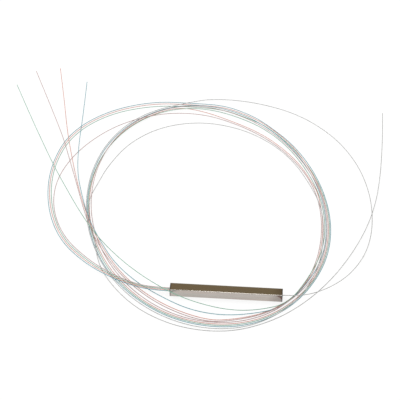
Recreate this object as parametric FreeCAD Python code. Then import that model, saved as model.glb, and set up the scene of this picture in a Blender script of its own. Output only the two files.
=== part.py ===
"""Bare-fibre 1 x 4 planar waveguide splitter in a square steel tube, millimetres, +Z up.

The origin is the middle of the tube's underside. +X runs along the tube to the input
end, +Y points away from the side that the coil's bottom passes, +Z is up.
"""
import FreeCAD, Part
import math
import os

Vector = FreeCAD.Vector

# ---------------------------------------------------------------- housing tube
TUBE_LENGTH = 45.0
TUBE_SIDE = 4.0
TUBE_WALL = 0.3
TUBE_CORNER = 0.45            # outer corner radius
BORE = TUBE_SIDE - 2 * TUBE_WALL
BORE_CORNER = TUBE_CORNER - TUBE_WALL
END_CHAMFER = 0.08            # deburred rim at both mouths
AXIS_Z = TUBE_SIDE / 2        # height of the optical axis

# ---------------------------------------------------------------- end seals
SEAL_RECESS = 0.5             # from the tube's mouth to the seal's rim
SEAL_LENGTH = 2.5
SEAL_DISH = 0.3               # depth of the meniscus at the seal's middle
SEAL_FACE = TUBE_LENGTH / 2 - SEAL_RECESS

# ---------------------------------------------------------------- fibre
GLASS_DIAMETER = 0.125        # stripped cladding
COATED_DIAMETER = 0.245       # over the coloured coating
LANE_GAP = 0.005              # between the coatings of neighbouring outputs
GROOVE_PITCH = COATED_DIAMETER + LANE_GAP
HOUSED_SIDES = 6              # sides of a coated fibre in the housing, inside its true round
EXIT_PITCH = 0.55             # spacing of the four outputs where they leave the seal
BEND_CLEARANCE = 0.1          # straight fibre left between its bends and what holds it
OUTPUTS = ("blue", "orange", "green", "brown")

# ---------------------------------------------------------------- chip and its lids
CHIP_LENGTH = 12.0            # at the height of the optical axis
CHIP_WIDTH = 2.2
CHIP_THICKNESS = 1.0
CHIP_LID_LENGTH = 3.0
LID_THICKNESS = 0.9
FACET_ANGLE = 8.0             # degrees, polished against back reflection
BOND_THICKNESS = 0.05         # clear adhesive between a facet and its groove block

# ---------------------------------------------------------------- groove blocks
BLOCK_LENGTH = 8.0
GROOVE_LENGTH = 4.5
GROOVE_HALF_ANGLE = 35.0
GROOVE_LID_LENGTH = 4.0
GLUE_FILM = 0.02              # adhesive round the glass, at the groove walls and the lid
FIBRE_PROUD = 0.03            # the fibre's axis stands this far above the block's top
STRIP_GAP = 0.4               # bare glass between the grooves and the coating
REAR_BEVEL = 0.25             # eases the shelf's rear edge under the coated fibre
TAIL_GLUE_REACH = 1.0         # how far the rear fillet runs past the block
TAIL_GLUE_DROP = 0.55         # how far it hangs down the block's rear face
TAIL_GLUE_MARGIN = 0.2        # kept in from the block's sides

# ---------------------------------------------------------------- bedding
PAD_SIDE_GAP = 0.25
PAD_CORNER = 0.3
CHIP_PAD_LENGTH = 8.0
BLOCK_PAD_LENGTH = 6.0

# ---------------------------------------------------------------- the fibre coil
COIL_CENTRE = (-12.0, 55.6)
COIL_HALF_WIDTH = 52.4
COIL_HALF_DEPTH = 75.7
COIL_TURN = 12.3              # degrees that the oval leans to the left
COIL_BAND_LEFT = 2.6          # width of the bundle on each side of the oval
COIL_BAND_RIGHT = 4.4
COIL_BAND_FAR = 5.0
COIL_BAND_NEAR = 3.4
COIL_HEIGHT = 1.0

ARC_SHARE = 0.45              # share of the shorter run that each rounding may use
LOOSE_SIDES = 4               # sides of a loose fibre's bar, its corners on the true round

# The loose fibres as x, y, z. A lead starts in its end seal, and that point comes from the
# housing. Points inside the coil's band are where the fibre joins the bundle.
LEAD_ROUTES = {
    "blue": [
        (-26.5, -0.9, 1.95), (-35.1, 0.3, 1.75), (-46.9, 5.3, 1.5), (-60.1, 14.2, 1.3),
        (-72.9, 28.8, 0.7), (-81.6, 51.0, 0.25), (-84.7, 77.0, 0.15), (-80.1, 103.2, 0.15),
        (-64.6, 122.0, 0.15), (-43.4, 130.6, 0.2), (-24.0, 129.9, 0.25)],
    "orange": [
        (-26.5, -0.3, 1.95), (-35.0, 0.8, 1.75), (-46.7, 5.9, 1.5), (-59.6, 14.9, 1.3),
        (-72.3, 29.3, 0.7), (-80.9, 51.4, 0.25), (-84.0, 77.0, 0.15), (-79.3, 102.6, 0.15),
        (-64.0, 120.9, 0.15), (-43.2, 129.5, 0.2), (-24.0, 129.4, 0.25)],
    "green": [
        (-26.5, 0.3, 1.95), (-35.0, 1.3, 1.75), (-46.5, 6.5, 1.5), (-59.1, 15.5, 1.3),
        (-71.8, 29.8, 0.7), (-80.2, 51.8, 0.25), (-83.2, 77.0, 0.15), (-78.4, 101.9, 0.15),
        (-63.3, 119.7, 0.15), (-42.9, 128.2, 0.2), (-24.0, 128.7, 0.25)],
    "brown": [
        (-26.5, 0.9, 1.95), (-34.9, 1.8, 1.75), (-46.3, 7.1, 1.5), (-58.6, 16.1, 1.3),
        (-71.2, 30.3, 0.7), (-79.0, 49.7, 0.25), (-80.2, 70.0, 0.15), (-73.4, 91.3, 0.3),
        (-58.1, 109.9, 1.4), (-38.0, 120.7, 1.4), (-18.0, 122.3, 0.8),
        (0.0, 115.5, 0.3), (15.5, 104.5, 0.15), (27.0, 90.0, 0.2), (34.5, 74.0, 0.4),
        (39.8, 59.0, 0.5)],
    "input": [
        (26.5, 0.0, 2.0), (34.0, 1.5, 1.9), (43.0, 7.5, 1.5), (51.0, 17.0, 0.8),
        (57.5, 31.0, 0.3), (60.5, 49.0, 0.15), (59.7, 69.9, 0.15), (54.4, 91.1, 0.15),
        (43.9, 110.5, 0.15), (27.2, 126.5, 0.15), (6.1, 134.7, 0.2), (-14.0, 135.8, 0.5),
        (-27.0, 131.0, 0.52), (-36.0, 121.5, 0.52)],
}
INPUT_INNER_ROUTE = [
    (39.0, 57.0, 0.5), (33.2, 73.0, 0.5), (25.6, 89.2, 0.5), (14.3, 102.9, 0.45),
    (-0.5, 112.9, 0.2), (-18.8, 116.7, 0.15), (-37.0, 111.3, 0.15), (-50.7, 97.9, 0.15),
    (-58.4, 79.7, 0.2), (-61.3, 66.0, 0.3), (-64.8, 54.0, 0.45)]
TAIL_ROUTES = {
    "input": [
        (-57.0, 29.0, 0.5), (-52.8, 13.5, 0.3), (-43.2, -0.2, 0.15), (-31.8, -12.2, 0.15),
        (-16.0, -19.3, 0.15), (2.0, -20.2, 0.15), (18.0, -13.5, 0.15), (31.0, -2.5, 0.15),
        (42.0, 12.0, 0.15), (51.0, 28.5, 0.35), (58.0, 46.0, 0.55), (62.5, 64.0, 0.55),
        (65.0, 83.0, 0.3), (66.5, 101.0, 0.15), (67.5, 117.0, 0.15), (68.0, 130.0, 0.15)],
    "brown": [
        (9.0, -16.4, 0.5), (-7.0, -15.2, 0.3), (-20.4, -10.4, 0.2), (-32.2, -1.6, 0.2),
        (-43.5, 9.8, 0.4), (-52.1, 22.4, 0.9), (-59.1, 35.4, 1.4), (-65.1, 49.5, 1.4),
        (-70.2, 64.5, 1.1), (-75.8, 80.3, 0.8), (-82.0, 98.4, 0.6), (-89.8, 117.5, 0.3),
        (-97.9, 136.8, 0.15), (-105.0, 153.5, 0.15)],
    "orange": [
        (10.0, -15.6, 0.5), (-6.6, -14.2, 0.3), (-20.0, -9.4, 0.2), (-31.7, -0.4, 0.2),
        (-42.5, 10.7, 0.4), (-51.1, 23.1, 0.9), (-58.4, 35.9, 1.4), (-64.4, 49.9, 1.4),
        (-69.6, 64.6, 1.1), (-75.1, 81.8, 0.8), (-81.1, 104.0, 0.5), (-87.1, 131.0, 0.15),
        (-93.3, 157.0, 0.15)],
    "blue": [
        (23.0, -6.0, 0.5), (10.5, -10.7, 0.3), (-2.0, -11.7, 0.2), (-14.5, -8.8, 0.2),
        (-25.7, -2.7, 0.2), (-35.9, 5.6, 0.3), (-45.6, 17.1, 0.5), (-53.5, 28.6, 1.0),
        (-60.7, 42.6, 1.4), (-66.5, 57.3, 1.4), (-71.3, 72.2, 1.1), (-74.0, 93.0, 0.8),
        (-75.8, 119.6, 0.15), (-78.0, 146.0, 0.15)],
    "green": [
        (25.0, -3.4, 0.5), (14.0, -8.0, 0.7), (3.0, -9.7, 1.5), (-9.0, -8.3, 2.8),
        (-20.3, -4.5, 3.8), (-30.5, 2.4, 3.6), (-40.3, 11.3, 2.7), (-50.0, 21.7, 2.0),
        (-58.5, 32.9, 1.6), (-66.0, 45.3, 1.2), (-73.5, 59.3, 0.8), (-83.0, 77.5, 0.6),
        (-93.9, 100.5, 0.35), (-103.7, 121.7, 0.15), (-112.4, 140.9, 0.15)],
}


# ---------------------------------------------------------------- shared shapes
def rounded_bar(side, corner, start, length):
    """Square bar along +X with rounded long edges, centred on the optical axis."""
    half = side / 2
    bar = Part.makeBox(length, side, side, Vector(start, -half, AXIS_Z - half))
    long_edges = [edge for edge in bar.Edges if abs(edge.tangentAt(0).x) > 0.9]
    return bar.makeFillet(corner, long_edges)


def side_prism(outline, width):
    """Closed x, z outline extruded across Y, centred on the tube's middle plane."""
    corners = [Vector(x, -width / 2, z) for x, z in outline]
    wire = Part.makePolygon(corners + corners[:1])
    return Part.Face(wire).extrude(Vector(0, width, 0))


def cylinder_along_x(diameter, start, end, y):
    """Round bar between two x positions on the optical axis's height."""
    low = min(start, end)
    return Part.makeCylinder(diameter / 2, abs(end - start), Vector(low, y, AXIS_Z), Vector(1, 0, 0))


def rounded_path(points):
    """Straight runs joined by tangent arcs, with each arc's radius."""
    corners = [Vector(*point) for point in points]
    edges = []
    radii = []
    here = corners[0]
    for before, corner, after in zip(corners, corners[1:], corners[2:]):
        incoming = (corner - before).normalize()
        outgoing = (after - corner).normalize()
        turn = incoming.getAngle(outgoing)
        trim = ARC_SHARE * min((corner - before).Length, (after - corner).Length)
        radius = trim / math.tan(turn / 2)
        arc_start = corner - incoming * trim
        arc_end = corner + outgoing * trim
        inward = (outgoing - incoming).normalize()
        middle = corner + inward * (radius / math.cos(turn / 2) - radius)
        edges.append(Part.LineSegment(here, arc_start).toShape())
        edges.append(Part.Arc(arc_start, middle, arc_end).toShape())
        radii.append(radius)
        here = arc_end
    edges.append(Part.LineSegment(here, corners[-1]).toShape())
    return Part.Wire(edges), radii


def faceted_section(points, diameter, sides):
    """Regular polygon across the start of a route, its corners on the fibre's round."""
    start = Vector(*points[0])
    direction = (Vector(*points[1]) - start).normalize()
    sideways = direction.cross(Vector(0, 0, 1)).normalize()
    upward = sideways.cross(direction)
    corners = []
    for index in range(sides):
        angle = 2 * math.pi * index / sides
        corners.append(start + (sideways * math.cos(angle) + upward * math.sin(angle)) * (diameter / 2))
    return Part.Face(Part.makePolygon(corners + corners[:1]))


def largest_solid(shape):
    """The biggest of a shape's solids, which drops the part of a cord inside the bundle."""
    return max(shape.Solids, key=lambda solid: solid.Volume)


# ---------------------------------------------------------------- places that parts share
def facet_x(z):
    """Distance from the chip's middle to its polished end at height z."""
    return CHIP_LENGTH / 2 - (z - AXIS_Z) * math.tan(math.radians(FACET_ANGLE))


def front_x(z):
    """Distance from the chip's middle to a groove block's polished front at height z."""
    return facet_x(z) + BOND_THICKNESS


def groove_lanes(count):
    """The y position of each groove, evenly spaced about the middle."""
    return [(index - (count - 1) / 2) * GROOVE_PITCH for index in range(count)]


def exit_lanes(count):
    """The y position of each fibre where it leaves its end seal."""
    return [(index - (count - 1) / 2) * EXIT_PITCH for index in range(count)]


STACK_BOTTOM = AXIS_Z - CHIP_THICKNESS
BLOCK_TOP = AXIS_Z - FIBRE_PROUD
GROOVE_APEX = AXIS_Z - (GLASS_DIAMETER / 2 + GLUE_FILM) / math.sin(math.radians(GROOVE_HALF_ANGLE))
GROOVE_LID_BOTTOM = AXIS_Z + GLASS_DIAMETER / 2 + GLUE_FILM
SHELF_TOP = AXIS_Z - COATED_DIAMETER / 2 - GLUE_FILM
GROOVE_END = front_x(AXIS_Z) + GROOVE_LENGTH
GROOVE_LID_END = front_x(AXIS_Z) + GROOVE_LID_LENGTH
BLOCK_END = front_x(AXIS_Z) + BLOCK_LENGTH
GLUE_END = BLOCK_END + TAIL_GLUE_REACH
STRIP_END = GROOVE_END + STRIP_GAP


# ---------------------------------------------------------------- housing
def housing_tube():
    """Square tube with a bore right through and deburred mouths."""
    outside = rounded_bar(TUBE_SIDE, TUBE_CORNER, -TUBE_LENGTH / 2, TUBE_LENGTH)
    bore = rounded_bar(BORE, BORE_CORNER, -TUBE_LENGTH / 2, TUBE_LENGTH)
    tube = outside.cut(bore)
    rims = [edge for edge in tube.Edges if abs(abs(edge.CenterOfMass.x) - TUBE_LENGTH / 2) < 1e-6]
    return tube.makeChamfer(END_CHAMFER, rims)


def end_seal(side, fibres):
    """Adhesive plug in the tube's mouth, dished where it cured, round its fibres."""
    start = SEAL_FACE - SEAL_LENGTH if side > 0 else -SEAL_FACE
    plug = rounded_bar(BORE, BORE_CORNER, start, SEAL_LENGTH)
    reach = BORE / math.sqrt(2)
    sphere_radius = (reach ** 2 + SEAL_DISH ** 2) / (2 * SEAL_DISH)
    centre_x = side * (SEAL_FACE - SEAL_DISH + sphere_radius)
    dish = Part.makeSphere(sphere_radius, Vector(centre_x, 0, AXIS_Z))
    return plug.cut(dish).cut(fibres)


# ---------------------------------------------------------------- chip
def waveguide_chip():
    """Silica on silicon chip with both ends polished at the facet angle."""
    outline = [
        (-facet_x(STACK_BOTTOM), STACK_BOTTOM),
        (facet_x(STACK_BOTTOM), STACK_BOTTOM),
        (facet_x(AXIS_Z), AXIS_Z),
        (-facet_x(AXIS_Z), AXIS_Z)]
    return side_prism(outline, CHIP_WIDTH)


def chip_lid(side):
    """Glass lid on one end of the chip, polished with it."""
    top = AXIS_Z + LID_THICKNESS
    inner = facet_x(AXIS_Z) - CHIP_LID_LENGTH
    outline = [
        (side * inner, AXIS_Z),
        (side * facet_x(AXIS_Z), AXIS_Z),
        (side * facet_x(top), top),
        (side * inner, top)]
    return side_prism(outline, CHIP_WIDTH)


def facet_bond(side):
    """Clear adhesive film between a polished chip end and its groove block."""
    top = AXIS_Z + LID_THICKNESS
    outline = [
        (side * facet_x(STACK_BOTTOM), STACK_BOTTOM),
        (side * front_x(STACK_BOTTOM), STACK_BOTTOM),
        (side * front_x(top), top),
        (side * facet_x(top), top)]
    return side_prism(outline, CHIP_WIDTH)


# ---------------------------------------------------------------- groove arrays
def groove_cutter(side, y):
    """Triangular bar that cuts one V-groove, open at the block's front."""
    height = AXIS_Z - GROOVE_APEX
    half_width = height * math.tan(math.radians(GROOVE_HALF_ANGLE))
    near = side * (front_x(STACK_BOTTOM) - 1.0)
    corners = [
        Vector(near, y, GROOVE_APEX),
        Vector(near, y + half_width, AXIS_Z),
        Vector(near, y - half_width, AXIS_Z)]
    face = Part.Face(Part.makePolygon(corners + corners[:1]))
    return face.extrude(Vector(side * GROOVE_END - near, 0, 0))


def groove_block(side, count):
    """Glass block with V-grooves in front and a lower shelf for the coated fibre."""
    outline = [
        (side * front_x(STACK_BOTTOM), STACK_BOTTOM),
        (side * BLOCK_END, STACK_BOTTOM),
        (side * BLOCK_END, SHELF_TOP - REAR_BEVEL),
        (side * (BLOCK_END - REAR_BEVEL), SHELF_TOP),
        (side * GROOVE_END, SHELF_TOP),
        (side * GROOVE_END, BLOCK_TOP),
        (side * front_x(BLOCK_TOP), BLOCK_TOP)]
    block = side_prism(outline, CHIP_WIDTH)
    for y in groove_lanes(count):
        block = block.cut(groove_cutter(side, y))
    return block


def groove_lid(side):
    """Glass lid that presses the stripped fibres into their grooves."""
    top = AXIS_Z + LID_THICKNESS
    outline = [
        (side * front_x(GROOVE_LID_BOTTOM), GROOVE_LID_BOTTOM),
        (side * GROOVE_LID_END, GROOVE_LID_BOTTOM),
        (side * GROOVE_LID_END, top),
        (side * front_x(top), top)]
    return side_prism(outline, CHIP_WIDTH)


def groove_adhesive(side, block, fibres):
    """Adhesive that fills the grooves and the film under the lid."""
    outline = [
        (side * front_x(GROOVE_APEX), GROOVE_APEX),
        (side * GROOVE_LID_END, GROOVE_APEX),
        (side * GROOVE_LID_END, GROOVE_LID_BOTTOM),
        (side * front_x(GROOVE_LID_BOTTOM), GROOVE_LID_BOTTOM)]
    return largest_solid(side_prism(outline, CHIP_WIDTH).cut(block).cut(fibres))


def tail_glue(side, block, fibres):
    """Rounded fillet of soft adhesive over the coated fibres behind the lid."""
    width = CHIP_WIDTH - 2 * TAIL_GLUE_MARGIN
    crown = AXIS_Z + LID_THICKNESS * 0.8
    start_low = Vector(side * GROOVE_LID_END, -width / 2, GROOVE_APEX)
    start_high = Vector(side * GROOVE_LID_END, -width / 2, crown)
    shoulder = Vector(side * (GROOVE_END + BLOCK_END) / 2, -width / 2, AXIS_Z + LID_THICKNESS * 0.62)
    tip = Vector(side * GLUE_END, -width / 2, AXIS_Z)
    heel = Vector(side * BLOCK_END, -width / 2, SHELF_TOP - TAIL_GLUE_DROP)
    under = Vector(side * (BLOCK_END + 0.6 * TAIL_GLUE_REACH), -width / 2, AXIS_Z - 0.4)
    edges = [
        Part.LineSegment(start_low, start_high).toShape(),
        Part.Arc(start_high, shoulder, tip).toShape(),
        Part.Arc(tip, under, heel).toShape(),
        Part.LineSegment(heel, start_low).toShape()]
    blob = Part.Face(Part.Wire(edges)).extrude(Vector(0, width, 0))
    return largest_solid(blob.cut(block).cut(fibres))


def bedding_pad(centre_x, length):
    """Silicone pad that cushions the glass stack on the bore's floor."""
    width = BORE - 2 * PAD_SIDE_GAP
    height = STACK_BOTTOM - TUBE_WALL
    corner = Vector(centre_x - length / 2, -width / 2, TUBE_WALL)
    pad = Part.makeBox(length, width, height, corner)
    upright = [edge for edge in pad.Edges if abs(edge.tangentAt(0).z) > 0.9]
    return pad.makeFillet(PAD_CORNER, upright)


# ---------------------------------------------------------------- fibres in the housing
def bare_glass(side, y):
    """Stripped fibre from the polished facet to the start of its coating."""
    near = side * (front_x(STACK_BOTTOM) - 1.0)
    glass = cylinder_along_x(GLASS_DIAMETER, near, side * STRIP_END, y)
    low = AXIS_Z - GLASS_DIAMETER
    high = AXIS_Z + GLASS_DIAMETER
    keep = side_prism([
        (side * front_x(low), low),
        (side * BLOCK_END, low),
        (side * BLOCK_END, high),
        (side * front_x(high), high)], CHIP_WIDTH)
    return glass.common(keep)


def fibre_end(side, groove_y, exit_y):
    """One fibre inside the housing: bare in its groove, coated from there to the seal."""
    free_span = SEAL_FACE - SEAL_LENGTH - GLUE_END - 2 * BEND_CLEARANCE
    bend_run = free_span / (1 + 2 * ARC_SHARE)
    bend_start = GLUE_END + BEND_CLEARANCE + ARC_SHARE * bend_run
    bend_end = bend_start + bend_run
    route = [(side * STRIP_END, groove_y, AXIS_Z), (side * SEAL_FACE, exit_y, AXIS_Z)]
    if abs(exit_y - groove_y) > 1e-9:
        route[1:1] = [(side * bend_start, groove_y, AXIS_Z), (side * bend_end, exit_y, AXIS_Z)]
    wire, _ = rounded_path(route)
    coated = wire.makePipe(faceted_section(route, COATED_DIAMETER, HOUSED_SIDES))
    return bare_glass(side, groove_y).fuse(coated).removeSplitter()


# ---------------------------------------------------------------- the loose fibre
def oval_face(centre, half_width, half_depth):
    """Flat oval on the floor, leaning with the coil."""
    major = max(half_width, half_depth)
    minor = min(half_width, half_depth)
    ellipse = Part.Ellipse(Vector(0, 0, 0), major, minor)
    face = Part.Face(Part.Wire(ellipse.toShape()))
    face.rotate(Vector(0, 0, 0), Vector(0, 0, 1), 90 + COIL_TURN)
    face.translate(centre)
    return face


def fibre_coil():
    """The bundle of turns as one solid ring, its band a different width on each side."""
    lean = math.radians(COIL_TURN)
    across = Vector(math.cos(lean), math.sin(lean), 0)
    centre = Vector(COIL_CENTRE[0], COIL_CENTRE[1], 0)
    along = Vector(-math.sin(lean), math.cos(lean), 0)
    inner_centre = centre - across * ((COIL_BAND_RIGHT - COIL_BAND_LEFT) / 2)
    inner_centre += along * ((COIL_BAND_NEAR - COIL_BAND_FAR) / 2)
    inner_width = COIL_HALF_WIDTH - (COIL_BAND_LEFT + COIL_BAND_RIGHT) / 2
    inner_depth = COIL_HALF_DEPTH - (COIL_BAND_NEAR + COIL_BAND_FAR) / 2
    outer = oval_face(centre, COIL_HALF_WIDTH, COIL_HALF_DEPTH)
    inner = oval_face(inner_centre, inner_width, inner_depth)
    return outer.cut(inner).extrude(Vector(0, 0, COIL_HEIGHT))


def loose_fibre(name, points, coil):
    """One free stretch of fibre, ending on the bundle's side where it joins it."""
    wire, radii = rounded_path(points)
    section = faceted_section(points, COATED_DIAMETER, LOOSE_SIDES)
    bar = wire.makePipe(section)
    print("%-18s length %6.1f  volume / expected %.4f  radii %s" % (
        name, wire.Length, bar.Volume / (section.Area * wire.Length),
        " ".join("%.0f" % radius for radius in radii)))
    return largest_solid(bar.cut(coil))


def round_tip(fibre, points):
    """Gives a tail's last straight run its true round section, where a sleeve slides on."""
    last, before = Vector(*points[-1]), Vector(*points[-2])
    shorter = min((last - before).Length, (before - Vector(*points[-3])).Length)
    outward = (last - before).normalize()
    start = before + outward * (ARC_SHARE * shorter)
    length = (last - start).Length
    room = Part.makeCylinder(COATED_DIAMETER, length + COATED_DIAMETER, start, outward)
    tip = Part.makeCylinder(COATED_DIAMETER / 2, length, start, outward)
    return fibre.cut(room).fuse(tip).removeSplitter()


# ---------------------------------------------------------------- the whole splitter
def build_nodes():
    """Every named piece of the splitter, in its place."""
    nodes = {"housing_tube": housing_tube()}
    groove_y = dict(zip(OUTPUTS, groove_lanes(len(OUTPUTS))))
    exit_y = dict(zip(OUTPUTS, exit_lanes(len(OUTPUTS))))
    inner_fibres = {name: fibre_end(-1, groove_y[name], exit_y[name]) for name in OUTPUTS}
    inner_fibres["input"] = fibre_end(1, 0.0, 0.0)
    input_fibres = [inner_fibres["input"]]
    output_fibres = [inner_fibres[name] for name in OUTPUTS]

    nodes["waveguide_chip"] = waveguide_chip()
    for end, side, fibres in (("input", 1, input_fibres), ("output", -1, output_fibres)):
        block = groove_block(side, len(fibres))
        nodes["chip_lid_" + end] = chip_lid(side)
        nodes[end + "_facet_bond"] = facet_bond(side)
        nodes[end + "_groove_block"] = block
        nodes[end + "_groove_lid"] = groove_lid(side)
        nodes[end + "_groove_adhesive"] = groove_adhesive(side, block, fibres)
        nodes[end + "_tail_glue"] = tail_glue(side, block, fibres)
        nodes[end + "_end_seal"] = end_seal(side, fibres)
        pad_x = side * (front_x(STACK_BOTTOM) + BLOCK_LENGTH / 2)
        nodes[end + "_bedding_pad"] = bedding_pad(pad_x, BLOCK_PAD_LENGTH)
    nodes["chip_bedding_pad"] = bedding_pad(0.0, CHIP_PAD_LENGTH)
    for name, fibre in inner_fibres.items():
        nodes[name + "_fibre_end"] = fibre

    coil = fibre_coil()
    nodes["fibre_coil"] = coil
    for name in OUTPUTS:
        route = [(-SEAL_FACE, exit_y[name], AXIS_Z)] + LEAD_ROUTES[name]
        nodes[name + "_lead"] = loose_fibre(name + "_lead", route, coil)
    input_route = [(SEAL_FACE, 0.0, AXIS_Z)] + LEAD_ROUTES["input"]
    nodes["input_lead"] = loose_fibre("input_lead", input_route, coil)
    nodes["input_inner_turn"] = loose_fibre("input_inner_turn", INPUT_INNER_ROUTE, coil)
    for name, route in TAIL_ROUTES.items():
        nodes[name + "_tail"] = round_tip(loose_fibre(name + "_tail", route, coil), route)
    return nodes


os.makedirs("parts", exist_ok=True)
for node_name, node_shape in build_nodes().items():
    node_shape.exportStep("parts/" + node_name + ".step")
    print("%-24s solids %d  valid %s  volume %.4f" % (
        node_name, len(node_shape.Solids), node_shape.isValid(), node_shape.Volume))
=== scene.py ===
"""Looks of a bare-fibre 1 x 4 waveguide splitter: loose coloured fibre, drawn steel and glass.

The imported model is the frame. Every size is in metres, in that frame.
"""
import logging
import math
from dataclasses import dataclass
from enum import Enum
from typing import Any, Sequence

import bmesh
import bpy
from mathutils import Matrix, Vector


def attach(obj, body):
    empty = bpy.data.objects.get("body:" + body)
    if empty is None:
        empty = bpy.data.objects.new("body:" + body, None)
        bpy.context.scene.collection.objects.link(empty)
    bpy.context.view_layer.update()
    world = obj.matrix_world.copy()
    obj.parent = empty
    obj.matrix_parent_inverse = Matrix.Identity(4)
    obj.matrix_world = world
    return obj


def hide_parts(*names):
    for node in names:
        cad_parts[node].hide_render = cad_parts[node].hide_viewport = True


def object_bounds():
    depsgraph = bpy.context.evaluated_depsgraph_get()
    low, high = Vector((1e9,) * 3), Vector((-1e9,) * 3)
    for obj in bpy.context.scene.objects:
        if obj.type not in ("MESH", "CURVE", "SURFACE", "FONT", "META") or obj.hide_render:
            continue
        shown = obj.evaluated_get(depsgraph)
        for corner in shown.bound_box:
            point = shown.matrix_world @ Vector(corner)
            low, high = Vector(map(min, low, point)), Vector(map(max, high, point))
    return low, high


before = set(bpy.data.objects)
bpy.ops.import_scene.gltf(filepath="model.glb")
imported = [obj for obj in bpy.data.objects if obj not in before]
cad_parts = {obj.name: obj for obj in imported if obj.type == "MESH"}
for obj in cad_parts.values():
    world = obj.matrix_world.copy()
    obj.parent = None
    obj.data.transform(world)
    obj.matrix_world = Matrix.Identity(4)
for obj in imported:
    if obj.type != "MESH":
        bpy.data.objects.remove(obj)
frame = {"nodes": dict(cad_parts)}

LOG = logging.getLogger("splitter")
Point = tuple[float, float, float]
Knot = tuple[float, float, float]
Colour = tuple[float, float, float, float]
CAD_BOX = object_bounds()
MIX_UNDER, MIX_OVER, MIX_RESULT = 6, 7, 2  # a Mix node's colour sockets, which share their names


def colour(red: float, green: float, blue: float) -> Colour:
    """Opaque colour from three linear channels."""
    return (red, green, blue, 1.0)


# ---------------------------------------------------------------- node trees
class Tree:
    """Adds nodes to one shader tree and joins them."""

    def __init__(self, tree: bpy.types.NodeTree) -> None:
        """Takes an existing node tree and empties it.

        Args:
            tree: the tree of a material, a world or a node group.
        """
        self.tree = tree
        tree.nodes.clear()

    def fill(self, node: bpy.types.Node, inputs: dict[Any, Any]) -> None:
        """Fills or joins some of a node's inputs.

        Args:
            node: the node.
            inputs: input name or number to a value, or to the socket that feeds it.
        """
        for name, value in inputs.items():
            if isinstance(value, bpy.types.NodeSocket):
                self.tree.links.new(value, node.inputs[name])
            else:
                node.inputs[name].default_value = value

    def add(self, kind: str, inputs: dict[Any, Any] | None = None, **settings: Any) -> bpy.types.Node:
        """Adds a node, sets its properties, and fills or joins its inputs.

        Args:
            kind: the node's type name without its ShaderNode prefix, or a full type name.
            inputs: input name or number to a value, or to the socket that feeds it.
            settings: properties of the node.

        Returns:
            The new node.
        """
        full = kind if kind.startswith("Node") else "ShaderNode" + kind
        node = self.tree.nodes.new(full)
        for name, value in settings.items():
            setattr(node, name, value)
        self.fill(node, inputs or {})
        return node

    def calculate(self, operation: str, *values: Any) -> bpy.types.NodeSocket:
        """Adds a Math node.

        Args:
            operation: the node's operation.
            values: a number or a socket for each of its inputs.

        Returns:
            The socket with the result.
        """
        return self.add("Math", dict(enumerate(values)), operation=operation).outputs[0]

    def blend(self, share: Any, under: Any, over: Any) -> bpy.types.NodeSocket:
        """Adds a mix of two colours.

        Args:
            share: how much of the second colour shows.
            under: the first colour, or its socket.
            over: the second colour, or its socket.

        Returns:
            The socket with the mixed colour.
        """
        mix = self.add("Mix", {"Factor": share, MIX_UNDER: under, MIX_OVER: over}, data_type="RGBA")
        return mix.outputs[MIX_RESULT]

    def smooth_share(self, value: bpy.types.NodeSocket, edges: tuple[float, float]) -> bpy.types.NodeSocket:
        """Adds a soft step from 0 to 1.

        Args:
            value: the socket that it reads.
            edges: the values at which the step starts and ends.

        Returns:
            The socket with the share.
        """
        step = self.add(
            "MapRange", {"Value": value, "From Min": edges[0], "From Max": edges[1]},
            interpolation_type="SMOOTHSTEP")
        return step.outputs["Result"]

    def ramp(self, value: bpy.types.NodeSocket, start: float, end: float, top: float) -> bpy.types.NodeSocket:
        """Adds a straight ramp from 0, held at both ends.

        Args:
            value: the socket that it reads.
            start: the value at which the ramp leaves 0.
            end: the value at which it is full.
            top: what it reaches.

        Returns:
            The socket with the share.
        """
        rise = self.add("MapRange", {"Value": value, "From Min": start, "From Max": end, "To Max": top})
        return rise.outputs["Result"]


def new_group(
        name: str, inputs: dict[str, tuple[str, Any]],
        outputs: dict[str, str]) -> tuple[Tree, bpy.types.Node, bpy.types.Node]:
    """Starts a shader node group with named sockets.

    Args:
        name: the group's name.
        inputs: input name to its socket type and default value.
        outputs: output name to its socket type.

    Returns:
        The group's Tree helper, its input node and its output node.
    """
    tree = bpy.data.node_groups.new(name, "ShaderNodeTree")
    for socket, (kind, default) in inputs.items():
        made = tree.interface.new_socket(socket, in_out="INPUT", socket_type="NodeSocket" + kind)
        made.default_value = default
    for socket, kind in outputs.items():
        tree.interface.new_socket(socket, in_out="OUTPUT", socket_type="NodeSocket" + kind)
    helper = Tree(tree)
    return helper, helper.add("NodeGroupInput"), helper.add("NodeGroupOutput")


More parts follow.
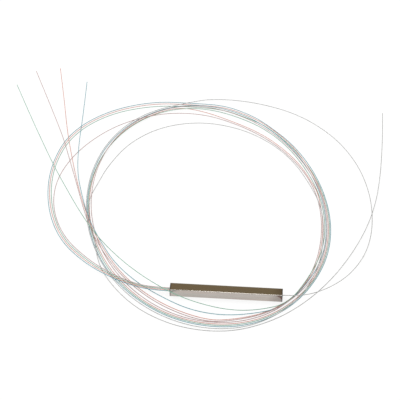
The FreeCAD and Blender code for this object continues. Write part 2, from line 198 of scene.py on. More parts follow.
class Effects:
    """The shader node groups that more than one finish uses."""

    CLOUD_EDGES: tuple[float, float] = (0.32, 0.68)
    LINE_EDGES: tuple[float, float] = (0.35, 0.65)
    BAND_EDGES: tuple[float, float] = (0.42, 0.62)
    LINE_STRETCH: float = 0.012
    BAND_PITCH_SHARE: float = 0.16
    SURFACE: dict[str, str] = {"Colour": "Color", "Roughness": "Float", "Height": "Float"}

    def __init__(self) -> None:
        """Builds each group once."""
        self.mottle = self._mottle()
        self.drawn_lines = self._drawn_lines()

    def _mottle(self) -> bpy.types.NodeTree:
        """Cloudy change between two colours, with the roughness and height that go with it.

        Returns:
            A group with Colour, Other Colour, Scale, Roughness and Spread inputs and
            Colour, Roughness and Height outputs.
        """
        made, given, out = new_group("cloudy_mottle", {
            "Colour": ("Color", colour(0.8, 0.8, 0.8)), "Other Colour": ("Color", colour(0.6, 0.6, 0.6)),
            "Scale": ("Float", 200.0), "Roughness": ("Float", 0.4), "Spread": ("Float", 0.1)},
            self.SURFACE)
        place = made.add("TexCoord")
        broad = made.add("TexNoise", {
            "Vector": place.outputs["Object"], "Scale": given.outputs["Scale"],
            "Detail": 4.0, "Roughness": 0.55})
        share = made.smooth_share(broad.outputs["Fac"], self.CLOUD_EDGES)
        mixed = made.blend(share, given.outputs["Colour"], given.outputs["Other Colour"])
        centred = made.calculate("SUBTRACT", share, 0.5)
        rough = made.calculate("MULTIPLY_ADD", centred, given.outputs["Spread"], given.outputs["Roughness"])
        made.fill(out, {"Colour": mixed, "Roughness": rough, "Height": broad.outputs["Fac"]})
        return made.tree

    def _drawn_lines(self) -> bpy.types.NodeTree:
        """Fine lines along X, as drawing through a die or grinding leaves them.

        Returns:
            A group with Colour, Line Colour, Tint, Tint Share, Pitch, Roughness and Spread
            inputs and Colour, Roughness and Height outputs.
        """
        made, given, out = new_group("drawn_lines", {
            "Colour": ("Color", colour(0.6, 0.6, 0.6)), "Line Colour": ("Color", colour(0.5, 0.5, 0.5)),
            "Tint": ("Color", colour(0.6, 0.6, 0.6)), "Tint Share": ("Float", 0.3),
            "Pitch": ("Float", 4000.0), "Roughness": ("Float", 0.25), "Spread": ("Float", 0.1)},
            self.SURFACE)
        place = made.add("TexCoord")
        along = made.add("Mapping", {
            "Vector": place.outputs["Object"], "Scale": (self.LINE_STRETCH, 1.0, 1.0)})
        lines = made.add("TexNoise", {
            "Vector": along.outputs[0], "Scale": given.outputs["Pitch"], "Detail": 3.0, "Roughness": 0.6})
        broad_scale = made.calculate("MULTIPLY", given.outputs["Pitch"], self.BAND_PITCH_SHARE)
        bands = made.add("TexNoise", {"Vector": along.outputs[0], "Scale": broad_scale, "Detail": 2.0})
        line_share = made.smooth_share(lines.outputs["Fac"], self.LINE_EDGES)
        band_share = made.smooth_share(bands.outputs["Fac"], self.BAND_EDGES)
        lined = made.blend(line_share, given.outputs["Colour"], given.outputs["Line Colour"])
        tint_share = made.calculate("MULTIPLY", band_share, given.outputs["Tint Share"])
        tinted = made.blend(tint_share, lined, given.outputs["Tint"])
        centred = made.calculate("SUBTRACT", line_share, 0.5)
        rough = made.calculate("MULTIPLY_ADD", centred, given.outputs["Spread"], given.outputs["Roughness"])
        made.fill(out, {"Colour": tinted, "Roughness": rough, "Height": lines.outputs["Fac"]})
        return made.tree


# ---------------------------------------------------------------- finishes
def finish_material(name: str) -> tuple[bpy.types.Material, Tree, bpy.types.Node]:
    """Starts a material that ends in one Principled BSDF.

    Args:
        name: the material's name.

    Returns:
        The material, its Tree helper and the Principled BSDF.
    """
    material = bpy.data.materials.new(name)
    material.use_nodes = True
    made = Tree(material.node_tree)
    shader = made.add("BsdfPrincipled")
    made.add("OutputMaterial", {"Surface": shader.outputs["BSDF"]})
    return material, made, shader


@dataclass(frozen=True)
class DrawnSteel:
    """Bright drawn stainless: fine lengthwise lines, faint heat tints, painted shade on the right end and on
    the rims of both ends.
    """

    tube_half: float
    base: Colour = colour(0.52, 0.485, 0.45)
    line: Colour = colour(0.43, 0.40, 0.37)
    tint: Colour = colour(0.50, 0.42, 0.37)
    tint_share: float = 0.5
    pitch: float = 9000.0
    roughness: float = 0.16
    spread: float = 0.08
    line_depth: float = 0.0000012
    wave_depth: float = 0.000018
    wave_scale: float = 210.0
    wave_stretch: float = 0.35
    # painted shade: the colour darkens towards the tube's right end, in place of a dimmer reflection there
    right_end_shade: Colour = colour(0.27, 0.235, 0.225)
    right_end_shade_share: float = 0.75
    right_shade_before_end: float = 0.002
    right_shade_past_end: float = 0.004
    right_shade_smear: float = 0.006
    # painted shade: near-black rims at both ends, where the end faces lie in shade
    end_rim_shade: Colour = colour(0.06, 0.055, 0.06)
    end_rim_shade_share: float = 0.8
    end_rim_shade_start: float = 0.0006
    end_rim_shade_full: float = 0.0001

    def material(self, effects: Effects) -> bpy.types.Material:
        """Metal whose lines and slow waves bend its reflections.

        Args:
            effects: the shared node groups.

        Returns:
            The material.
        """
        material, made, shader = finish_material("drawn_steel")
        lines = made.add("Group", {
            "Colour": self.base, "Line Colour": self.line, "Tint": self.tint, "Tint Share": self.tint_share,
            "Pitch": self.pitch, "Roughness": self.roughness, "Spread": self.spread},
            node_tree=effects.drawn_lines)
        place = made.add("TexCoord")
        stretched = made.add("Mapping", {
            "Vector": place.outputs["Object"], "Scale": (self.wave_stretch, 1.0, 1.0)})
        waves = made.add("TexNoise", {
            "Vector": stretched.outputs[0], "Scale": self.wave_scale, "Detail": 1.0})
        wavy = made.add("Bump", {
            "Height": waves.outputs["Fac"], "Distance": self.wave_depth, "Strength": 1.0})
        lined = made.add("Bump", {
            "Height": lines.outputs["Height"], "Distance": self.line_depth, "Strength": 1.0,
            "Normal": wavy.outputs[0]})
        along = made.add("SeparateXYZ", {0: place.outputs["Object"]}).outputs["X"]
        # painted shade: darker colour towards the right end, its border smeared by the slow waves
        smeared = made.calculate("MULTIPLY_ADD", waves.outputs["Fac"], self.right_shade_smear, along)
        right_shade_mask = made.ramp(
            smeared, self.tube_half - self.right_shade_before_end, self.tube_half + self.right_shade_past_end,
            self.right_end_shade_share)
        # painted shade: near-black rims at both ends of the tube
        reach = made.calculate("ABSOLUTE", along)
        edge = made.ramp(
            reach, self.tube_half - self.end_rim_shade_start, self.tube_half - self.end_rim_shade_full, self.end_rim_shade_share)
        # the painted right-end shade, then the painted rim shade, go into the base colour
        shaded = made.blend(right_shade_mask, lines.outputs["Colour"], self.right_end_shade)
        made.fill(shader, {
            "Base Color": made.blend(edge, shaded, self.end_rim_shade), "Roughness": lines.outputs["Roughness"],
            "Normal": lined.outputs[0], "Metallic": 1.0})
        return material


class Coating(Enum):
    """The coatings of the five fibres: pigment, its paler share, and how much light passes."""

    CLEAR = ("clear", colour(0.49, 0.49, 0.48), colour(0.61, 0.61, 0.60), 0.3)
    BLUE = ("blue", colour(0.09, 0.34, 0.41), colour(0.17, 0.43, 0.50), 0.1)
    ORANGE = ("orange", colour(0.72, 0.30, 0.23), colour(0.80, 0.40, 0.32), 0.1)
    GREEN = ("green", colour(0.18, 0.44, 0.31), colour(0.27, 0.52, 0.39), 0.1)
    BROWN = ("brown", colour(0.49, 0.30, 0.285), colour(0.58, 0.40, 0.385), 0.1)

    def __init__(self, label: str, pigment: Colour, pale: Colour, transmission: float) -> None:
        """Keeps the option's own values.

        Args:
            label: the coating's name, which its fibre and slot start with.
            pigment: the coating's deeper colour.
            pale: the colour where the pigment is thin.
            transmission: share of light that the coating lets through.
        """
        self.label = label
        self.slot = label + "_coating"
        self.pigment = pigment
        self.pale = pale
        self.transmission = transmission


@dataclass(frozen=True)
class CuredCoating:
    """Glossy cured fibre coating whose pigment varies a little along the fibre."""

    cloud_scale: float = 420.0
    roughness: float = 0.32
    spread: float = 0.12
    ripple: float = 0.000004
    ripple_strength: float = 0.6
    ior: float = 1.5
    gloss: float = 0.3
    gloss_roughness: float = 0.15

    def material(self, coating: Coating, effects: Effects) -> bpy.types.Material:
        """The coating in one of its colours.

        Args:
            coating: the colour and its clarity.
            effects: the shared node groups.

        Returns:
            The material.
        """
        material, made, shader = finish_material(coating.slot)
        mottle = made.add("Group", {
            "Colour": coating.pigment, "Other Colour": coating.pale, "Scale": self.cloud_scale,
            "Roughness": self.roughness, "Spread": self.spread}, node_tree=effects.mottle)
        ripple = made.add("Bump", {
            "Height": mottle.outputs["Height"], "Distance": self.ripple, "Strength": self.ripple_strength})
        made.fill(shader, {
            "Base Color": mottle.outputs["Colour"], "Roughness": mottle.outputs["Roughness"],
            "Normal": ripple.outputs[0], "Transmission Weight": coating.transmission, "IOR": self.ior,
            "Coat Weight": self.gloss, "Coat Roughness": self.gloss_roughness})
        return material


@dataclass(frozen=True)
class ClearSolid:
    """Glass, adhesive or silicone: a clear or milky solid with a faint cloud in it."""

    slot: str
    base: Colour
    cloud: Colour
    transmission: float
    roughness: float
    cloud_scale: float = 900.0
    ripple: float = 0.000004
    ior: float = 1.5

    def material(self, effects: Effects) -> bpy.types.Material:
        """Transmitting surface with the cloud in its colour, roughness and ripple.

        Args:
            effects: the shared node groups.

        Returns:
            The material.
        """
        material, made, shader = finish_material(self.slot)
        mottle = made.add("Group", {
            "Colour": self.base, "Other Colour": self.cloud, "Scale": self.cloud_scale,
            "Roughness": self.roughness, "Spread": self.roughness / 2}, node_tree=effects.mottle)
        ripple = made.add("Bump", {
            "Height": mottle.outputs["Height"], "Distance": self.ripple, "Strength": 1.0})
        made.fill(shader, {
            "Base Color": mottle.outputs["Colour"], "Roughness": mottle.outputs["Roughness"],
            "Normal": ripple.outputs[0], "Transmission Weight": self.transmission, "IOR": self.ior})
        return material


@dataclass(frozen=True)
class PolishedChip:
    """Silicon under a thin silica film, saw lines on its long sides."""

    base: Colour = colour(0.20, 0.19, 0.25)
    line: Colour = colour(0.30, 0.29, 0.36)
    tint: Colour = colour(0.16, 0.24, 0.30)
    tint_share: float = 0.6
    pitch: float = 16000.0
    roughness: float = 0.14
    spread: float = 0.1
    line_depth: float = 0.0000008
    metallic: float = 0.6
    film: float = 1.0
    film_roughness: float = 0.03

    def material(self, effects: Effects) -> bpy.types.Material:
        """Half metallic mirror with a film's faint change of colour.

        Args:
            effects: the shared node groups.

        Returns:
            The material.
        """
        material, made, shader = finish_material("chip_silica")
        lines = made.add("Group", {
            "Colour": self.base, "Line Colour": self.line, "Tint": self.tint, "Tint Share": self.tint_share,
            "Pitch": self.pitch, "Roughness": self.roughness, "Spread": self.spread},
            node_tree=effects.drawn_lines)
        sawn = made.add("Bump", {
            "Height": lines.outputs["Height"], "Distance": self.line_depth, "Strength": 1.0})
        made.fill(shader, {
            "Base Color": lines.outputs["Colour"], "Roughness": lines.outputs["Roughness"],
            "Normal": sawn.outputs[0], "Metallic": self.metallic, "Coat Weight": self.film,
            "Coat Roughness": self.film_roughness})
        return material


CLEAR_SOLIDS = (
    ClearSolid(
        "end_adhesive", colour(0.80, 0.79, 0.74), colour(0.70, 0.69, 0.63), 0.25, 0.22, cloud_scale=700.0),
    ClearSolid("lid_glass", colour(0.93, 0.96, 0.96), colour(0.90, 0.94, 0.94), 1.0, 0.03),
    ClearSolid("block_glass", colour(0.90, 0.94, 0.95), colour(0.84, 0.90, 0.92), 1.0, 0.08),
    ClearSolid("clear_adhesive", colour(0.93, 0.92, 0.84), colour(0.88, 0.86, 0.76), 0.9, 0.10),
    ClearSolid("soft_adhesive", colour(0.90, 0.88, 0.80), colour(0.84, 0.82, 0.72), 0.7, 0.20),
    ClearSolid("silicone", colour(0.84, 0.85, 0.85), colour(0.76, 0.77, 0.78), 0.3, 0.45),
)


class Wardrobe:
    """Every finish of the splitter, by the name of its material slot."""

    def __init__(self, effects: Effects, tube_half: float) -> None:
        """Makes each material once.

        Args:
            effects: the shared node groups.
            tube_half: half the steel tube's length.
        """
        self.materials: dict[str, bpy.types.Material] = {
            "steel": DrawnSteel(tube_half).material(effects), "chip_silica": PolishedChip().material(effects)}
        for solid in CLEAR_SOLIDS:
            self.materials[solid.slot] = solid.material(effects)
        for coating in Coating:
            self.materials[coating.slot] = CuredCoating().material(coating, effects)

    def dress(self, piece: bpy.types.Object, slot: str) -> None:
        """Gives a piece the finish of one slot.

        Args:
            piece: a mesh or curve object.
            slot: the slot's name.
        """
        slots = piece.data.materials
        if len(slots) == 0:
            slots.append(self.materials[slot])
        for index in range(len(slots)):
            slots[index] = self.materials[slot]


# ---------------------------------------------------------------- the loose fibre
@dataclass(frozen=True)
class TurnRing:
    """The leaning oval band that the loose turns lie in."""

    centre: tuple[float, float] = (-0.012, 0.0556)
    half_width: float = 0.0524
    half_depth: float = 0.0757
    lean: float = math.radians(12.3)
    band_left: float = 0.0026
    band_right: float = 0.0044
    band_far: float = 0.0050
    band_near: float = 0.0052
    step: float = 15.0

    def point(self, degrees: float, lane: float, height: float) -> Point:
        """A control point on one lane of the band.

        Args:
            degrees: angle round the oval, 0 on its right and 90 at its far end.
            lane: 0 on the band's inner edge, 1 on its outer edge.
            height: height of the fibre's axis.

        Returns:
            The point, a little outside the lane, because a smooth line runs inside its points.
        """
        grown = 1 / math.cos(math.radians(self.step) / 2)
        inward = 1 - lane
        wide = (self.half_width - (self.band_left + self.band_right) / 2 * inward) * grown
        deep = (self.half_depth - (self.band_near + self.band_far) / 2 * inward) * grown
        across = wide * math.cos(math.radians(degrees)) - (self.band_right - self.band_left) / 2 * inward
        along = deep * math.sin(math.radians(degrees)) + (self.band_near - self.band_far) / 2 * inward
        return (
            self.centre[0] + across * math.cos(self.lean) - along * math.sin(self.lean),
            self.centre[1] + across * math.sin(self.lean) + along * math.cos(self.lean),
            height)

    def turns(self, knots: Sequence[Knot]) -> list[Point]:
        """Points every step round the band, easing from knot to knot.

        Args:
            knots: angle in degrees, lane and height at places along the turns.

        Returns:
            The control points in order.
        """
        points = []
        first, last = knots[0][0], knots[-1][0]
        count = max(1, round(abs(last - first) / self.step))
        for index in range(count + 1):
            angle = first + (last - first) * index / count
            points.append(self.point(angle, *self._eased(knots, angle)))
        return points

    @staticmethod
    def _eased(knots: Sequence[Knot], angle: float) -> tuple[float, float]:
        """Lane and height at an angle, eased between the knots on each side of it.

        Args:
            knots: the knots, in the order that the fibre meets them.
            angle: angle in degrees, between the first and the last knot's.

        Returns:
            The lane and the height.
        """
        rounding = 1e-9
        for before, after in zip(knots, knots[1:]):
            share = (angle - before[0]) / (after[0] - before[0])
            if share <= 1 + rounding:
                ease = share * share * (3 - 2 * share)
                return (before[1] + (after[1] - before[1]) * ease, before[2] + (after[2] - before[2]) * ease)
        return knots[-1][1:]


@dataclass(frozen=True)
class Placed:
    """A stretch of fibre that is given by its own control points."""

    listed: tuple[Point, ...]

    def points(self, ring: TurnRing) -> list[Point]:
        """The control points as they are listed."""
        return list(self.listed)


@dataclass(frozen=True)
class Wound:
    """A stretch of fibre that winds round the ring, by knots of angle, lane and height."""

    knots: tuple[Knot, ...]

    def points(self, ring: TurnRing) -> list[Point]:
        """The control points, worked out on the ring."""
        return ring.turns(self.knots)


@dataclass(frozen=True)
class FibreRoute:
    """One fibre from its end seal to its bare end, with the CAD nodes that it stands for."""

    coating: Coating
    length: float
    stretches: tuple[Placed | Wound, ...]
    nodes: tuple[str, ...]


ROUTES = (
    FibreRoute(Coating.BLUE, 0.991, (
        Placed((
            (-0.022, -0.00082, 0.002), (-0.0265, -0.0009, 0.00195), (-0.0351, 0.0003, 0.00175),
            (-0.0469, 0.0053, 0.0015), (-0.0601, 0.0142, 0.0013), (-0.0729, 0.0288, 0.0007),
            (-0.0816, 0.051, 0.00025), (-0.0847, 0.077, 0.00015), (-0.0801, 0.1032, 0.00015),
            (-0.0646, 0.122, 0.00015), (-0.0434, 0.1315, 0.0002), (-0.024, 0.1314, 0.00025),
            (-0.008, 0.1307, 0.0002), (0.0053, 0.1235, 0.00015))),
        Wound((
            (45, 1.02, 0.00015), (30, 1.05, 0.00015), (15, 1.02, 0.00015), (0, 1.06, 0.00015),
            (-15, 1.12, 0.00015), (-30, 1.11, 0.00015), (-45, 0.94, 0.00015), (-60, 0.86, 0.00015),
            (-90, 0.68, 0.00015), (-105, 0.58, 0.00015), (-135, 0.70, 0.00020), (-150, 0.90, 0.00015),
            (-165, 0.84, 0.00020), (-195, 0.64, 0.00030), (-240, 0.72, 0.00040), (-270, 0.80, 0.00050),
            (-300, 0.72, 0.00060), (-330, 0.59, 0.00067), (-360, 0.62, 0.00067), (-390, 0.71, 0.00067),
            (-405, 0.56, 0.00067))),
        Placed((
            (0.0234, -0.0056, 0.0010), (0.0105, -0.0102, 0.0008), (-0.002, -0.0113, 0.0003),
            (-0.0145, -0.0088, 0.0002), (-0.0257, -0.0027, 0.0002), (-0.0364, 0.0046, 0.0003),
            (-0.0468, 0.0151, 0.0005), (-0.0546, 0.0276, 0.001), (-0.0621, 0.0423, 0.0014),
            (-0.0670, 0.0572, 0.0014), (-0.0713, 0.0722, 0.0011), (-0.074, 0.093, 0.0008),
            (-0.0758, 0.1196, 0.00015), (-0.078, 0.146, 0.00015)))),
        ("blue_lead", "blue_tail")),
    FibreRoute(Coating.ORANGE, 0.991, (
        Placed((
            (-0.022, -0.00028, 0.002), (-0.0265, -0.0003, 0.00195), (-0.035, 0.0008, 0.00175),
            (-0.0467, 0.0059, 0.0015), (-0.0596, 0.0149, 0.0013), (-0.0723, 0.0293, 0.0007),
            (-0.0809, 0.0514, 0.00025), (-0.084, 0.077, 0.00015), (-0.0793, 0.1026, 0.00015),
            (-0.064, 0.1209, 0.00015), (-0.0432, 0.1300, 0.0002), (-0.024, 0.1301, 0.00025),
            (-0.0082, 0.1294, 0.0002), (0.0048, 0.1224, 0.00025))),
        Wound((
            (45, 0.90, 0.00030), (30, 0.88, 0.00045), (15, 0.78, 0.00045), (0, 0.84, 0.00020),
            (-15, 0.90, 0.00015), (-30, 0.89, 0.00015), (-45, 0.77, 0.00015), (-60, 0.66, 0.00015),
            (-90, 0.38, 0.00015), (-105, 0.29, 0.00015), (-135, 0.34, 0.00015), (-165, 0.42, 0.00015),
            (-195, 0.36, 0.00015), (-255, 0.44, 0.00040))),
        Placed((
            (-0.0295, 0.1275, 0.0004), (-0.017, 0.1244, 0.0004), (-0.0036, 0.1175, 0.00045),
            (0.0093, 0.1097, 0.00045), (0.0202, 0.0989, 0.00045), (0.0288, 0.0866, 0.00045),
            (0.0345, 0.0731, 0.00045))),
        Wound((
            (-360, 0.40, 0.00045), (-375, 0.35, 0.00045), (-390, 0.38, 0.00045), (-405, 0.48, 0.00045),
            (-420, 0.40, 0.00045), (-450, -0.10, 0.00040))),
        Placed((
            (-0.0066, -0.0142, 0.0003), (-0.02, -0.0094, 0.0002), (-0.0319, -0.0018, 0.0002),
            (-0.0431, 0.0089, 0.0004), (-0.0520, 0.0217, 0.0009), (-0.0594, 0.0355, 0.0014),
            (-0.0650, 0.0497, 0.0014), (-0.0700, 0.0645, 0.0011), (-0.0751, 0.0818, 0.0008),
            (-0.0811, 0.104, 0.0005), (-0.0871, 0.131, 0.00015), (-0.0933, 0.157, 0.00015)))),
        ("orange_lead", "orange_tail")),
    FibreRoute(Coating.GREEN, 0.978, (
        Placed((
            (-0.022, 0.00028, 0.002), (-0.0265, 0.0003, 0.00195), (-0.035, 0.0013, 0.00175),
            (-0.0465, 0.0065, 0.0015), (-0.0591, 0.0155, 0.0013), (-0.0718, 0.0298, 0.0007),
            (-0.0802, 0.0518, 0.00025), (-0.0832, 0.077, 0.00015), (-0.0784, 0.1019, 0.00015),
            (-0.0633, 0.1197, 0.00015), (-0.0429, 0.1280, 0.0002), (-0.024, 0.1284, 0.00025),
            (-0.0084, 0.1272, 0.0002), (0.004, 0.1208, 0.00015))),
        Wound((
            (45, 0.78, 0.00015), (30, 0.77, 0.00015), (15, 0.88, 0.00015), (0, 0.96, 0.00015),
            (-15, 1.02, 0.00015), (-30, 1.00, 0.00015), (-45, 0.85, 0.00015), (-60, 0.76, 0.00015),
            (-90, 0.53, 0.00015), (-105, 0.43, 0.00015), (-135, 0.54, 0.00020), (-150, 0.66, 0.00030),
            (-165, 0.63, 0.00030), (-195, 0.50, 0.00040), (-210, 0.37, 0.00055), (-225, 0.24, 0.00070),
            (-270, 0.26, 0.00075), (-300, 0.17, 0.00030), (-315, 0.36, 0.00015), (-330, 0.40, 0.00015),
            (-345, 0.39, 0.00015), (-360, 0.53, 0.00015), (-375, 0.57, 0.00015), (-390, 0.52, 0.00060),
            (-405, 0.33, 0.00100))),
        Placed((
            (0.025, -0.0034, 0.0011), (0.014, -0.008, 0.0012), (0.003, -0.0097, 0.0017),
            (-0.009, -0.0083, 0.0028), (-0.0203, -0.0045, 0.0038), (-0.0305, 0.0024, 0.0036),
            (-0.0403, 0.0113, 0.0027), (-0.05, 0.0217, 0.0023), (-0.0585, 0.0329, 0.0020),
            (-0.066, 0.0453, 0.0016), (-0.0735, 0.0593, 0.0010), (-0.083, 0.0775, 0.0006),
            (-0.0939, 0.1005, 0.00035), (-0.1037, 0.1217, 0.00015), (-0.1124, 0.1409, 0.00015)))),
        ("green_lead", "green_tail")),
    FibreRoute(Coating.BROWN, 0.968, (
        Placed((
            (-0.022, 0.00082, 0.002), (-0.0265, 0.0009, 0.00195), (-0.0349, 0.0018, 0.00175),
            (-0.0463, 0.0071, 0.0015), (-0.0586, 0.0161, 0.0013), (-0.0712, 0.0303, 0.0007),
            (-0.079, 0.0497, 0.00025), (-0.0802, 0.07, 0.00015), (-0.0734, 0.0913, 0.0003),
            (-0.0581, 0.1099, 0.0014), (-0.038, 0.1207, 0.0014), (-0.018, 0.1223, 0.0008),
            (-0.0001, 0.1150, 0.0003), (0.0149, 0.1040, 0.00015), (0.0264, 0.0896, 0.00015),
            (0.0343, 0.0739, 0.00015))),
        Wound((
            (-8, 0.26, 0.00015), (-25, 0.23, 0.00015), (-45, 0.33, 0.00015), (-60, 0.46, 0.00020),
            (-90, 0.26, 0.00030), (-105, 0.16, 0.00040), (-165, 0.12, 0.00090), (-195, 0.02, 0.00090),
            (-240, 0.42, 0.00108), (-270, 0.56, 0.00110), (-300, 0.37, 0.00090), (-330, 0.43, 0.00090),
            (-345, 0.50, 0.00097), (-360, 0.70, 0.00105), (-390, 0.80, 0.00127), (-405, 0.75, 0.00127),
            (-420, 0.58, 0.00130), (-450, 0.08, 0.00070))),
        Placed((
            (-0.007, -0.0152, 0.0003), (-0.0204, -0.0104, 0.0002), (-0.0323, -0.0026, 0.0002),
            (-0.0439, 0.0087, 0.0005), (-0.0529, 0.0214, 0.0013), (-0.0601, 0.0350, 0.0014),
            (-0.0654, 0.0494, 0.0014), (-0.0704, 0.0645, 0.0011), (-0.0758, 0.0803, 0.0008),
            (-0.082, 0.0984, 0.0006), (-0.0898, 0.1175, 0.0003), (-0.0979, 0.1368, 0.00015),
            (-0.105, 0.1535, 0.00015)))),
        ("brown_lead", "brown_tail")),
    FibreRoute(Coating.CLEAR, 0.962, (
        Placed((
            (0.022, 0.0, 0.002), (0.0265, 0.0, 0.002), (0.034, 0.0015, 0.0019), (0.043, 0.0075, 0.0015),
            (0.051, 0.017, 0.0008), (0.0575, 0.031, 0.0003), (0.0605, 0.049, 0.00015),
            (0.0597, 0.0699, 0.00015), (0.0544, 0.0911, 0.00015), (0.0439, 0.1105, 0.00015),
            (0.0272, 0.1265, 0.00015), (0.0061, 0.1347, 0.0002), (-0.014, 0.1358, 0.0005),
            (-0.027, 0.131, 0.00052))),
        Wound((
            (107, 0.92, 0.00067), (165, 0.80, 0.00055), (195, 1.02, 0.00055), (210, 1.15, 0.00055),
            (225, 1.02, 0.00055), (255, 0.90, 0.00055), (270, 0.96, 0.00055), (300, 0.86, 0.00070),
            (320, 0.68, 0.00094), (338, 0.42, 0.00094))),
        Placed((
            (0.0385, 0.0568, 0.0007), (0.0331, 0.073, 0.0005), (0.0256, 0.0892, 0.0005),
            (0.0143, 0.1029, 0.00045), (-0.0005, 0.1129, 0.0002), (-0.0188, 0.1167, 0.00015),
            (-0.037, 0.1113, 0.00015), (-0.0507, 0.0979, 0.00015), (-0.0584, 0.0797, 0.0002),
            (-0.0613, 0.066, 0.0003))),
        Wound(((172, 0.35, 0.00067), (184, 0.50, 0.00067))),
        Placed((
            (-0.0571, 0.0288, 0.0011), (-0.0534, 0.0128, 0.0008), (-0.0438, -0.0012, 0.00020),
            (-0.0318, -0.0122, 0.00015), (-0.016, -0.0193, 0.00015), (0.002, -0.0202, 0.00015),
            (0.018, -0.0135, 0.00015), (0.031, -0.0025, 0.00015), (0.042, 0.012, 0.00015),
            (0.051, 0.0285, 0.00035), (0.058, 0.046, 0.00055), (0.0625, 0.064, 0.00055),
            (0.065, 0.083, 0.0003), (0.0665, 0.101, 0.00015), (0.0675, 0.117, 0.00015),
            (0.068, 0.13, 0.00015)))),
        ("input_lead", "input_inner_turn", "input_tail")),
)

@dataclass(frozen=True)
class LooseFibre:
    """Makes the loose fibres from their routes."""

    ring: TurnRing = TurnRing()
    diameter: float = 0.0003
    steps_per_point: int = 12
    round_steps: int = 3

    def build(self, route: FibreRoute, wardrobe: Wardrobe) -> bpy.types.Object:
        """Args:
            route: the fibre's route and facts.
            wardrobe: the finishes.

        Returns:
            The curve object.
        """
        points = [point for stretch in route.stretches for point in stretch.points(self.ring)]
        name = route.coating.label + "_fibre"
        curve = bpy.data.curves.new(name, "CURVE")
        curve.dimensions = "3D"
        spline = curve.splines.new("NURBS")
        spline.points.add(len(points) - 1)
        for target, point in zip(spline.points, points):
            target.co = (*point, 1.0)
        spline.order_u = 3
        spline.use_endpoint_u = True
        spline.resolution_u = self.steps_per_point
        curve.resolution_u = self.steps_per_point
        curve.bevel_depth = self.diameter / 2
        curve.bevel_resolution = self.round_steps
        curve.use_fill_caps = True
        piece = bpy.data.objects.new(name, curve)
        bpy.context.scene.collection.objects.link(piece)
        wardrobe.dress(piece, route.coating.slot)
        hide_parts(*route.nodes)
        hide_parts("fibre_coil")
        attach(piece, "root")
        LOG.info("%s: %d control points, length %.3f m", name, len(points), route.length)
        return piece


# ---------------------------------------------------------------- the housing and what it holds
@dataclass(frozen=True)
class Housing:
    """The steel tube and the glass stack inside it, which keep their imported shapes."""

    finishes: tuple[tuple[str, str], ...] = (
        ("housing_tube", "steel"), ("waveguide_chip", "chip_silica"), ("chip_bedding_pad", "silicone"))
    per_end: tuple[tuple[str, str], ...] = (
        ("{}_facet_bond", "clear_adhesive"), ("{}_groove_block", "block_glass"),
        ("{}_groove_lid", "lid_glass"), ("{}_groove_adhesive", "clear_adhesive"),
        ("{}_tail_glue", "soft_adhesive"), ("{}_end_seal", "end_adhesive"),
        ("{}_bedding_pad", "silicone"), ("chip_lid_{}", "lid_glass"))

    @staticmethod
    def half_length(nodes: dict[str, bpy.types.Object]) -> float:
        """Half the steel tube's length, which lies along X with its middle at 0."""
        return max(vertex.co.x for vertex in nodes["housing_tube"].data.vertices)

    def dress(self, nodes: dict[str, bpy.types.Object], wardrobe: Wardrobe) -> None:
        """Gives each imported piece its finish.

        Args:
            nodes: the frame's objects by node name.
            wardrobe: the finishes.
        """
        chosen = dict(self.finishes)
        for end in ("input", "output"):
            chosen.update({pattern.format(end): slot for pattern, slot in self.per_end})
        for coating in Coating:
            label = "input" if coating is Coating.CLEAR else coating.label
            chosen[label + "_fibre_end"] = coating.slot
        for name, slot in chosen.items():
            wardrobe.dress(nodes[name], slot)
            LOG.info("%s: %s", name, slot)


# ---------------------------------------------------------------- studio
@dataclass(frozen=True)
class Lamp:
    """A square soft lamp: where it hangs, the side of its square and its power in watts."""

    name: str
    place: Point
    size: float
    power: float

    def hang(self, target: Point) -> bpy.types.Object:
        """Makes the lamp and turns it to face a point.

        Args:
            target: what it lights.

        Returns:
            The lamp object.
        """
        data = bpy.data.lights.new(self.name, "AREA")
        data.size = self.size
        data.energy = self.power
        lamp = bpy.data.objects.new(self.name, data)
        lamp.location = self.place
        lamp.rotation_euler = (Vector(target) - Vector(self.place)).to_track_quat("-Z", "Y").to_euler()
        bpy.context.scene.collection.objects.link(lamp)
        return lamp


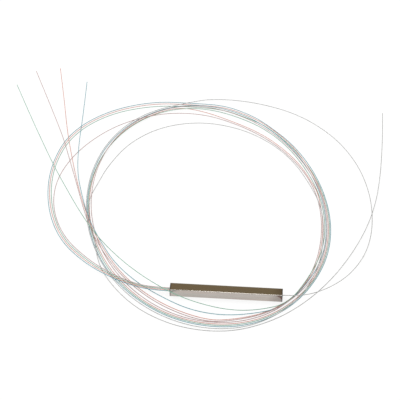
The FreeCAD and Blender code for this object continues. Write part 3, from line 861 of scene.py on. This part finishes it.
@dataclass(frozen=True)
class Studio:
    """White table, soft light and the camera."""

    view_azimuth: float = math.radians(4.28)
    view_elevation: float = math.radians(40.0)
    view_distance: float = 0.51286
    view_centre: Point = (-0.01487, 0.05878, 0.0)
    lens: float = 105.0
    sensor: float = 36.0
    near_clip: float = 0.01
    far_clip: float = 20.0
    white: Colour = colour(1.0, 1.0, 1.0)
    table_size: float = 6.0
    table_paint: Colour = colour(0.9, 0.9, 0.9)
    table_glow: float = 1.08
    table_glow_share: float = 0.74
    room_light: float = 0.82
    ceiling: Colour = colour(0.30, 0.245, 0.145)
    ceiling_edges: tuple[float, float] = (0.20, 0.42)
    lamps: tuple[Lamp, ...] = (
        Lamp("overhead", (-0.62, 0.42, 0.85), 0.35, 3.0), Lamp("front_strip", (0.03, -0.75, 0.53), 0.2, 0.8))

    def camera(self) -> bpy.types.Object:
        """Long lens looking down at the coil from its near side.

        Returns:
            The camera object.
        """
        data = bpy.data.cameras.new("camera")
        data.lens = self.lens
        data.sensor_width = self.sensor
        data.clip_start = self.near_clip
        data.clip_end = self.far_clip
        camera = bpy.data.objects.new("camera", data)
        level = math.cos(self.view_elevation)
        back = Vector((
            math.sin(self.view_azimuth) * level, -math.cos(self.view_azimuth) * level,
            math.sin(self.view_elevation)))
        camera.location = Vector(self.view_centre) + back * self.view_distance
        camera.rotation_euler = (-back).to_track_quat("-Z", "Y").to_euler()
        bpy.context.scene.collection.objects.link(camera)
        bpy.context.scene.camera = camera
        return camera

    def table(self) -> bpy.types.Object:
        """White table top that keeps a faint shadow.

        Returns:
            The table object.
        """
        material = bpy.data.materials.new("white_table")
        material.use_nodes = True
        made = Tree(material.node_tree)
        matt = made.add("BsdfDiffuse", {"Color": self.table_paint})
        glow = made.add("Emission", {"Color": self.white, "Strength": self.table_glow})
        path = made.add("LightPath")
        direct = made.calculate("MAXIMUM", path.outputs["Is Camera Ray"], path.outputs["Is Glossy Ray"])
        seen = made.calculate("MAXIMUM", direct, path.outputs["Is Transmission Ray"])
        share = made.calculate("MULTIPLY", seen, self.table_glow_share)
        mixed = made.add("MixShader", {0: share, 1: matt.outputs[0], 2: glow.outputs[0]})
        made.add("OutputMaterial", {"Surface": mixed.outputs[0]})
        mesh = bpy.data.meshes.new("table")
        shape = bmesh.new()
        bmesh.ops.create_grid(shape, x_segments=1, y_segments=1, size=self.table_size / 2)
        bmesh.ops.translate(shape, verts=shape.verts[:], vec=(0.0, 0.0, CAD_BOX[0].z))
        shape.to_mesh(mesh)
        shape.free()
        mesh.materials.append(material)
        table = bpy.data.objects.new("table", mesh)
        bpy.context.scene.collection.objects.link(table)
        return table

    def room(self) -> bpy.types.World:
        """White room with a dim warm ceiling that only gloss shows.

        Returns:
            The world.
        """
        world = bpy.data.worlds.new("room")
        world.use_nodes = True
        made = Tree(world.node_tree)
        path = made.add("LightPath")
        direction = made.add("TexCoord")
        height = made.add("SeparateXYZ", {0: direction.outputs["Generated"]})
        up = made.smooth_share(height.outputs["Z"], self.ceiling_edges)
        dome = made.blend(up, self.white, self.ceiling)
        soft = made.add("Background", {"Color": self.white, "Strength": self.room_light})
        seen = made.add("Background", {"Color": self.white, "Strength": 1.0})
        glossed = made.add("Background", {"Color": dome, "Strength": 1.0})
        straight = made.calculate(
            "MAXIMUM", path.outputs["Is Camera Ray"], path.outputs["Is Transmission Ray"])
        first = made.add("MixShader", {0: straight, 1: soft.outputs[0], 2: seen.outputs[0]})
        second = made.add("MixShader", {
            0: path.outputs["Is Glossy Ray"], 1: first.outputs[0], 2: glossed.outputs[0]})
        made.add("OutputWorld", {"Surface": second.outputs[0]})
        bpy.context.scene.world = world
        return world

    def build(self) -> None:
        """Makes the table, the room and the lamps."""
        self.table()
        self.room()
        for lamp in self.lamps:
            lamp.hang(self.view_centre)
            LOG.info("%s: lamp of %.1f W", lamp.name, lamp.power)
        bpy.context.scene.view_settings.view_transform = "Standard"


def main() -> None:
    """Builds the camera and the loose fibre first, then the finishes and the studio."""
    logging.basicConfig(level=logging.INFO, format="%(name)s: %(message)s")
    studio = Studio()
    studio.camera()
    housing = Housing()
    wardrobe = Wardrobe(Effects(), housing.half_length(frame["nodes"]))
    maker = LooseFibre()
    for route in ROUTES:
        maker.build(route, wardrobe)
    housing.dress(frame["nodes"], wardrobe)
    studio.build()


if __name__ == "__main__":
    main()
